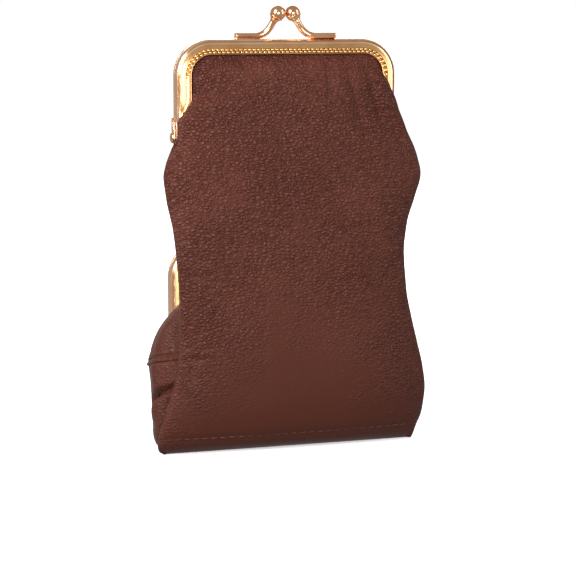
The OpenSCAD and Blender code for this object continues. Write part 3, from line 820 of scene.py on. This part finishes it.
def frame_path():
    """Points of the frame's outer outline and their outward directions, from the left leg's
    lower end to the right one's, in the frame's own plane."""
    leg = steps(LEG_START, FRAME_H - CORNER_R, PATH_STEP)[:-1]
    arc = np.linspace(0, np.pi / 2, 25)[:-1]
    bar = steps(-(SIDE_X - CORNER_R), SIDE_X - CORNER_R, PATH_STEP)
    centre_x, centre_z = SIDE_X - CORNER_R, FRAME_H - CORNER_R
    left = [((-SIDE_X, z), (-1, 0)) for z in leg]
    for a in arc:
        c, s = math.cos(a), math.sin(a)
        left.append(((-centre_x - CORNER_R * c, centre_z + CORNER_R * s), (-c, s)))
    top = [((x, FRAME_H), (0, 1)) for x in bar]
    right = [((-p[0], p[1]), (-n[0], n[1])) for p, n in reversed(left)]
    path = left + top + right
    return np.array([p for p, n in path]), np.array([n for p, n in path])


BEAD_INSETS = (3.5, 4.3)
BEAD_LOWEST = FRAME_H - CORNER_R - 0.5
BEAD_PITCH = 1.57
BEAD_HALF_L, BEAD_HALF_W, BEAD_H = 0.56, 0.37, 0.3
FACE_SLOPE = 0.25


def frame_section():
    """Section of a half: (inset, depth), and the material of each of its faces."""
    r = EDGE_R
    arc = [(r - r * math.cos(a), -3.1 + r - r * math.sin(a)) for a in np.linspace(0, 1.25, 9)]
    face = [(1.6, -3.14), (2.1, -3.28), (2.6, -3.4), (2.9, -3.49), (3.0, -3.52), (3.06, -3.5)]
    ground = [(3.9, -3.71), (4.66, -3.9)]
    rim = [(4.72, -3.94), (4.9, -3.92), (FACE_W, -3.68), (4.9, -3.35), (4.5, -3.0)]
    inside = [(CHANNEL_T, -3.0), (CHANNEL_T, -0.7), (3.8, -0.7), (3.8, -0.1)]
    points = [(0, -0.1)] + arc + face + ground + rim + inside
    kinds = [0] * (len(arc) + 1) + [1] * (len(face) - 1) + [2] * len(ground)
    return np.array(points), kinds + [1] * (len(points) - len(kinds))


def face_reach(z):
    """How much of the face's width is left at height z: the leg's end is cut on the skew."""
    return mix(0.28, 1.0, ease((z - LEG_START) / 7.5))


def half_frame(to_place):
    """One half's channel, before its ears, as (points, faces, bands)."""
    outline_at, out = frame_path()
    section, bands = frame_section()
    rows = len(outline_at)
    inset = section[None, :, 0] * np.ones((rows, 1))
    reach = face_reach(outline_at[:, 1])[:, None]
    inset = np.where(inset > 0.7, 0.7 + (inset - 0.7) * reach, inset)
    motif = WAVE_H * np.cos(2 * np.pi * travelled(outline_at) / WAVE_PITCH)[:, None]
    on_band = np.array([1.0 if 3 <= i <= 8 else 0.0 for i in range(len(section))])[None, :]
    depth = section[None, :, 1] + motif * on_band
    x, z = (outline_at[:, k : k + 1] - inset * out[:, k : k + 1] for k in (0, 1))
    points = np.stack([x, depth, z], -1)
    cols = len(section)
    low = outline_at[:-1, 1] < BEAD_LOWEST
    tags = [1 if tag == 2 and is_low else tag for is_low in low for tag in bands]
    return to_place(points.reshape(-1, 3)), capped(rows, cols), tags + [1, 1]


def ear(x0, thickness, to_place):
    """Both flat ears of a half, with rounded ends and a hole for the rivets. Above the rivet
    an ear keeps to its own half's side, clear of the other half's leg."""
    parts = []
    for side in (-1, 1):
        end = [(EAR_R * math.cos(a), EAR_R * math.sin(a)) for a in np.linspace(0, -np.pi, 19)]
        shape = np.array(end + [(-2.1, 3.0), (-1.9, 6.6), (-0.4, 6.6), (-0.15, 4.6), (1.6, 2.4)])
        hole = shape * HOLE_R / np.linalg.norm(shape, axis=1, keepdims=True)
        bevel = shape * 0.96
        loops = [(0, bevel), (0.1, shape), (thickness - 0.1, shape), (thickness, bevel)]
        loops += [(thickness, hole), (0, hole)]
        n = len(shape)
        points = np.concatenate(
            [np.stack([np.full(n, side * (x0 + x)), at[:, 0], at[:, 1]], -1) for x, at in loops]
        )
        last = (len(loops) - 1) * n
        faces = [list(f) for f in grid_faces(len(loops), n, closed=True)]
        faces += [[last + i, last + (i + 1) % n, (i + 1) % n, i] for i in range(n)]
        parts.append((to_place(points), faces if side > 0 else [f[::-1] for f in faces]))
    return joined(parts)


def bead_rows(to_place):
    """Two staggered rows of beads along the inner part of the face, on the bar and corners."""
    outline_at, out = frame_path()
    pitch = BEAD_PITCH
    a = np.linspace(0, 2 * np.pi, 10, endpoint=False)
    parts = []
    for inset, phase in zip(BEAD_INSETS, (0.0, 0.5)):
        line = outline_at - inset * out
        run = travelled(line)
        for at in np.arange(pitch * (0.5 + phase), run[-1] - pitch * 0.3, pitch):
            centre = np.array([np.interp(at, run, line[:, k]) for k in range(2)])
            outward = np.array([np.interp(at, run, out[:, k]) for k in range(2)])
            outward /= np.linalg.norm(outward)
            if centre[1] < BEAD_LOWEST:
                continue
            tangent = np.array([outward[1], -outward[0]])
            rings = []
            for turn in (0.0, 0.35, 0.7, 1.05, 1.4):
                lengthways = BEAD_HALF_L * np.cos(a)[:, None] * tangent
                sideways = BEAD_HALF_W * np.sin(a)[:, None] * outward
                ring = centre + math.cos(turn) * (lengthways + sideways)
                level = -3.5 - FACE_SLOPE * (inset - 3)
                depth = np.full(len(a), level - BEAD_H * math.sin(turn))
                rings.append(np.stack([ring[:, 0], depth, ring[:, 1]], -1))
            points = np.concatenate(rings)
            faces = [list(f) for f in grid_faces(5, len(a), closed=True)]
            faces.append([4 * len(a) + i for i in range(len(a))])
            parts.append((points, faces))
    points, faces = joined(parts)
    return to_place(points), faces


def placed_at(y, hinge, side):
    """Moves a half drawn facing forward to its frame; side 1 turns it to face back."""

    def move(points):
        return np.asarray(points) * [-side, -side, 1] + [0, y, hinge]

    return move


def clasp_frame(name, y, hinge, side, ear_x, body, node):
    move = placed_at(y, hinge, side)
    points, faces, tags = half_frame(move)
    ear_points, ear_faces = ear(ear_x, EAR_T, move)
    bead_points, bead_faces = bead_rows(move)
    all_points, all_faces = joined(
        [(points, faces), (ear_points, ear_faces), (bead_points, bead_faces)]
    )
    slots = tags + [0] * len(ear_faces) + [3] * len(bead_faces)
    golds = [gold_band_painted_reflection, gold_face, gold_ground_painted_shade, gold_bead]
    piece = make_piece(name, all_points, all_faces, golds, slots)
    recalculate(piece)
    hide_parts(node)
    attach(piece, body)


def recalculate(piece):
    """Points every face outwards."""
    b = bmesh.new()
    b.from_mesh(piece.data)
    bmesh.ops.recalc_face_normals(b, faces=b.faces)
    b.to_mesh(piece.data)
    b.free()


BALL_R = (box_mm("main_clasp_ball_front")[1][0] - box_mm("main_clasp_ball_front")[0][0]) / 2
BALL_TURNS = 56
ARM_R = 1.15
BEND_R = 6.0
BEND = math.radians(64)
CUP = math.radians(60)


def foot_ring(t):
    """Section of an arm's foot: a folded bar, flat below and grooved along both sides."""
    across, up = np.cos(t), np.maximum(np.sin(t), -0.72)
    square = np.maximum(np.abs(np.cos(t)), np.abs(np.sin(t)))
    groove = 0.3 * bulge(np.sin(t), -0.28, 0.16)
    return across / square**0.6 * (1 - groove), up / square**0.25


def clasp(prefix, y, hinge, side, body, arm_node, ball_node):
    """A clasp's arm, with its foot on the top bar and its cupped end, and its ball."""
    low, high = box_mm(ball_node)
    ball = (low + high) / 2 - [0, SHIFT_Y, 0]
    hand = math.copysign(1, ball[0])
    foot_end = np.abs([corner[0] for corner in box_mm(arm_node)]).max()
    foot_y = y + side * HALF_DEPTH / 2
    foot_z = hinge + FRAME_H + ARM_R - 0.25
    up = np.array([0, ball[1] - foot_y, ball[2] - foot_z])
    rise = np.linalg.norm(up)
    up /= rise
    inwards = np.array([-hand, 0.0, 0.0])
    side_way = np.cross(inwards, up)
    neck = (rise - BEND_R * (1 - math.cos(BEND))) / math.sin(BEND)
    reach = BEND_R * math.sin(BEND) + neck * math.cos(BEND)
    start = ball - up * rise - inwards * reach
    foot_l = foot_end - hand * start[0]

    t = np.linspace(0, 2 * np.pi, 36, endpoint=False)
    rings = []

    def ring(u, w, a, radius, foot=0.0):
        n = -math.sin(a) * inwards + math.cos(a) * up
        across, high_ = foot_ring(t)
        across, high_ = mix(np.cos(t), across, foot), mix(np.sin(t), high_, foot)
        centre = start + u * inwards + w * up
        rings.append(centre + radius * (across[:, None] * side_way + high_[:, None] * n))

    for u, size in ((0.0, 0.4), (0.0, 0.86), (0.15, 0.97), (0.4, 1)):
        ring(u - foot_l, 0, 0, ARM_R * size, 1)
    for part in (0.4, 0.6, 0.8):
        ring(-foot_l * (1 - part), 0, 0, ARM_R, 1)
    for k, a in enumerate(np.linspace(0, BEND, 19)):
        foot = 0.8 * (1 - k / 6) if k < 6 else 0
        ring(BEND_R * math.sin(a), BEND_R * (1 - math.cos(a)), a, ARM_R, foot)
    end_u, end_w = BEND_R * math.sin(BEND), BEND_R * (1 - math.cos(BEND))
    lip = neck - BALL_R * math.cos(CUP)
    lip_r = BALL_R * math.sin(CUP)
    cup = [(lip - 2.4, ARM_R), (lip - 1.7, ARM_R * 1.05), (lip - 1.2, ARM_R * 1.25)]
    cup += [(lip - 0.75, lip_r * 0.8), (lip - 0.35, lip_r * 0.97), (lip - 0.1, lip_r + 0.16)]
    cup += [(lip + 0.04, lip_r + 0.17), (lip + 0.08, lip_r + 0.08), (lip, lip_r - 0.1)]
    cup += [(lip - 0.1, 0.3)]
    for d, radius in cup:
        ring(end_u + d * math.cos(BEND), end_w + d * math.sin(BEND), BEND, radius)
    faces = capped(len(rings), len(t))
    arm = make_piece(f"{prefix}_arm", np.concatenate(rings), faces, [gold_clasp])
    recalculate(arm)
    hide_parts(arm_node)
    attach(arm, body)

    axis = math.cos(BEND) * inwards + math.sin(BEND) * up
    polar = np.linspace(0.03, np.pi - 0.03, 41)
    profile = [(BALL_R * math.sin(a), -BALL_R * math.cos(a)) for a in polar]
    points, _ = lathe(profile, BALL_TURNS)
    turn = np.array(Vector((1, 0, 0)).rotation_difference(Vector(axis)).to_matrix())
    faces = capped(len(profile), BALL_TURNS)
    bead = make_piece(f"{prefix}_ball", points @ turn.T + ball, faces, [gold_clasp])
    recalculate(bead)
    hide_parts(ball_node)
    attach(bead, body)


SHANK_R, INNER_HEAD_R, OUTER_HEAD_R = 0.9, 1.5, 1.85


def rivets(name, y, hinge, body, node):
    """Both rivets: inner head, shank and domed outer head."""
    start, end = SIDE_X - 0.9, SIDE_X + 0.68
    turns = np.linspace(0, 1.5, 9)
    dome = [(OUTER_HEAD_R * math.cos(a), end + 0.12 + 0.88 * math.sin(a)) for a in turns]
    profile = [(0.02, start - 0.6), (INNER_HEAD_R - 0.2, start - 0.6), (INNER_HEAD_R, start - 0.4)]
    profile += [(INNER_HEAD_R, start), (SHANK_R, start), (SHANK_R, end), (OUTER_HEAD_R - 0.05, end)]
    profile += dome + [(0.02, end + 1)]
    parts = []
    for side in (-1, 1):
        points, faces = lathe(profile, 40)
        parts.append((points * [side, 1, 1] + [0, y, hinge], [list(f) for f in faces]))
    points, faces = joined(parts)
    piece = make_piece(name, points, faces, [gold_clasp])
    recalculate(piece)
    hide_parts(node)
    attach(piece, body)


# ---- Stitching ------------------------------------------------------------------------------
def stitching():
    """Waxed stitches round the bottom, front and back, each sunk a little at its ends."""
    pitch, length, radius = 3.1, 2.3, 0.21
    t = np.linspace(0, 2 * np.pi, 8, endpoint=False)
    parts = []
    low = [STITCH_Z - 1.2]
    front = panel_rows(FRONT_TABLE, -1, 0, HINGE_Z, [STITCH_Z], FRONT_LIP, 200, tucked=False)[0]
    back = panel_rows(COIN_TABLE, 1, COIN_Y, COIN_HINGE_Z, low, NO_LIP, 200, tucked=False)[0]
    for dense, side, lift in ((front, -1, -0.36), (back, 1, LAP)):
        run = travelled(dense)
        for at in np.arange(4, run[-1] - 4, pitch):
            along_stitch = np.linspace(-length / 2, length / 2, 7)
            line = np.stack([np.interp(at + along_stitch, run, dense[:, k]) for k in range(3)], -1)
            sink = 0.12 - 0.35 * (np.abs(along_stitch) / (length / 2)) ** 3 + lift
            tangent = line[-1] - line[0]
            tangent /= np.linalg.norm(tangent)
            out = np.cross(tangent, [0, 0, 1])
            out *= np.sign(out[1]) * side
            line = line + sink[:, None] * out
            rings = [
                p + radius * (np.cos(t)[:, None] * out + np.sin(t)[:, None] * np.array([0, 0, 1]))
                for p in line
            ]
            parts.append((np.concatenate(rings), capped(len(rings), len(t))))
    points, faces = joined(parts)
    piece = make_piece("bottom_stitches", points, faces, [thread])
    recalculate(piece)
    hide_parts("base_stitching")
    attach(piece, "pouch")


# ---- Camera, floor and light ----------------------------------------------------------------
def camera():
    azimuth, distance, height = math.radians(-17), 0.64265, 0.15128
    cam = bpy.data.objects.new("camera", bpy.data.cameras.new("camera"))
    bpy.context.scene.collection.objects.link(cam)
    cam.location = (
        distance * math.sin(azimuth),
        SHIFT_Y * MM - distance * math.cos(azimuth),
        height,
    )
    pitch, yaw = math.radians(8.63), math.radians(17.08)
    flat = math.cos(pitch)
    look = Vector((math.sin(yaw) * flat, math.cos(yaw) * flat, -math.sin(pitch)))
    cam.rotation_euler = look.to_track_quat("-Z", "Y").to_euler()
    cam.data.sensor_width = 36
    cam.data.lens = 118.6
    cam.data.clip_start = 0.02
    bpy.context.scene.camera = cam


def area_light(name, place, aim, size, power, mirrored=True):
    data = bpy.data.lights.new(name, "AREA")
    data.shape = "RECTANGLE"
    data.size, data.size_y = size
    data.energy = power
    light = bpy.data.objects.new(name, data)
    light.location = place
    light.rotation_euler = (Vector(aim) - Vector(place)).to_track_quat("-Z", "Y").to_euler()
    light.visible_camera = False
    light.visible_glossy = mirrored
    bpy.context.scene.collection.objects.link(light)


def studio():
    half = 6.0
    corners = [(-half, -half, 0), (half, -half, 0), (half, half, 0), (-half, half, 0)]
    mesh = bpy.data.meshes.new("floor")
    mesh.from_pydata(corners, [], [(0, 1, 2, 3)])
    n = Nodes("floor_white_painted_shade")
    at = n.add("ShaderNodeTexCoord").outputs["Object"]
    away = n.add("ShaderNodeVectorMath", {0: at}, operation="LENGTH").outputs["Value"]
    # Painted shade: the floor's glow is weaker near the purse, rising from half strength within 8
    # cm to nearly full strength 45 cm away
    n.finish(
        Base_Color=(0.8, 0.8, 0.8, 1),
        Roughness=0.6,
        Emission_Color=(1, 1, 1, 1),
        Emission_Strength=n.spread(away, 0.08, 0.45, 0.5, 0.92),
    )
    mesh.materials.append(n.material)
    floor = bpy.data.objects.new("floor", mesh)
    bpy.context.scene.collection.objects.link(floor)
    floor.visible_glossy = False
    floor.visible_diffuse = False

    world = bpy.data.worlds.new("studio")
    world.use_nodes = True
    nodes, links = world.node_tree.nodes, world.node_tree.links
    background = nodes["Background"]
    ray = nodes.new("ShaderNodeLightPath").outputs
    level = None
    # White behind the object, and dimmer in reflections and as light
    for kind, amount in (("Is Camera Ray", 0.86), ("Is Glossy Ray", 0.34)):
        add = nodes.new("ShaderNodeMath")
        add.operation = "MULTIPLY_ADD"
        links.new(ray[kind], add.inputs[0])
        add.inputs[1].default_value = amount
        add.inputs[2].default_value = 0.14
        if level is not None:
            links.new(level, add.inputs[2])
        level = add.outputs[0]
    links.new(level, background.inputs["Strength"])
    background.inputs["Color"].default_value = (1, 1, 1, 1)
    bpy.context.scene.world = world
    area_light("key", (-0.46, -0.27, 0.34), (0, 0, 0.07), (0.3, 0.4), 5)
    area_light("front", (-0.14, -1.06, 0.1), (0, 0, 0.1), (0.42, 0.42), 5)
    area_light("fill", (0.6, -0.35, 0.3), (0, 0, 0.07), (0.25, 0.6), 1.6)
    area_light("top", (0.0, 0.1, 0.9), (0, 0, 0.05), (0.9, 0.5), 5, mirrored=False)
    area_light("back", (0.3, 0.9, 0.4), (0, 0, 0.07), (0.6, 0.5), 4)
    bpy.context.scene.view_settings.view_transform = "Standard"


# ---- The model ------------------------------------------------------------------------------
camera()
studio()
front_leather()
rear_leather()
coin_leather()
coin_inner_leather()
for name, table, side, middle, hinge, lips, relief, out, body, node in (
    (
        "lining_of_front", FRONT_TABLE, -1, 0, HINGE_Z, FRONT_LIP, front_relief, FRONT_OUT,
        "main_front_half", "main_lining_front",
    ),
    (
        "lining_of_rear", REAR_TABLE, 1, 0, HINGE_Z, NO_LIP, rear_relief, BACK_OUT,
        "main_rear_half", "main_lining_rear",
    ),
    (
        "coin_lining_outside", COIN_TABLE, 1, COIN_Y, COIN_HINGE_Z, NO_LIP, coin_relief, BACK_OUT,
        "coin_outer_half", "coin_lining_outer",
    ),
):
    lining(name, table, side, middle, hinge, lips, relief, out, (node, node + "_top"))
coin_inner_lining()
gusset("gusset_left", 1, "coin_gusset_left")
gusset("gusset_right", 2, "coin_gusset_right")
INNER_EAR, OUTER_EAR = SIDE_X - EAR_T - 0.1, SIDE_X + 0.08
clasp_frame("clasp_frame_front", 0, HINGE_Z, -1, INNER_EAR, "main_front_half", "main_frame_front")
clasp_frame("clasp_frame_rear", 0, HINGE_Z, 1, OUTER_EAR, "main_rear_half", "main_frame_rear")
clasp_frame(
    "coin_clasp_frame_inner", COIN_Y, COIN_HINGE_Z, -1, OUTER_EAR,
    "pouch", "coin_frame_inner",
)
clasp_frame(
    "coin_clasp_frame_outer", COIN_Y, COIN_HINGE_Z, 1, INNER_EAR,
    "coin_outer_half", "coin_frame_outer",
)
clasp(
    "front_clasp", 0, HINGE_Z, -1, "main_front_half",
    "main_clasp_arm_front", "main_clasp_ball_front",
)
clasp(
    "rear_clasp", 0, HINGE_Z, 1, "main_rear_half",
    "main_clasp_arm_rear", "main_clasp_ball_rear",
)
clasp(
    "coin_inner_clasp", COIN_Y, COIN_HINGE_Z, -1, "pouch",
    "coin_clasp_arm_inner", "coin_clasp_ball_inner",
)
clasp(
    "coin_outer_clasp", COIN_Y, COIN_HINGE_Z, 1, "coin_outer_half",
    "coin_clasp_arm_outer", "coin_clasp_ball_outer",
)
rivets("main_rivets", 0, HINGE_Z, "main_rear_half", "main_hinge_rivets")
rivets("coin_rivets", COIN_Y, COIN_HINGE_Z, "pouch", "coin_hinge_rivets")
stitching()
for node, finish in (
    ("base_board", packing_card),
    ("main_channel_cord_front", packing_card),
    ("main_channel_cord_rear", packing_card),
    ("coin_channel_cord_inner", packing_card),
    ("coin_channel_cord_outer", packing_card),
):
    for slot in frame["nodes"][node].material_slots:
        slot.link = "OBJECT"
        slot.material = finish
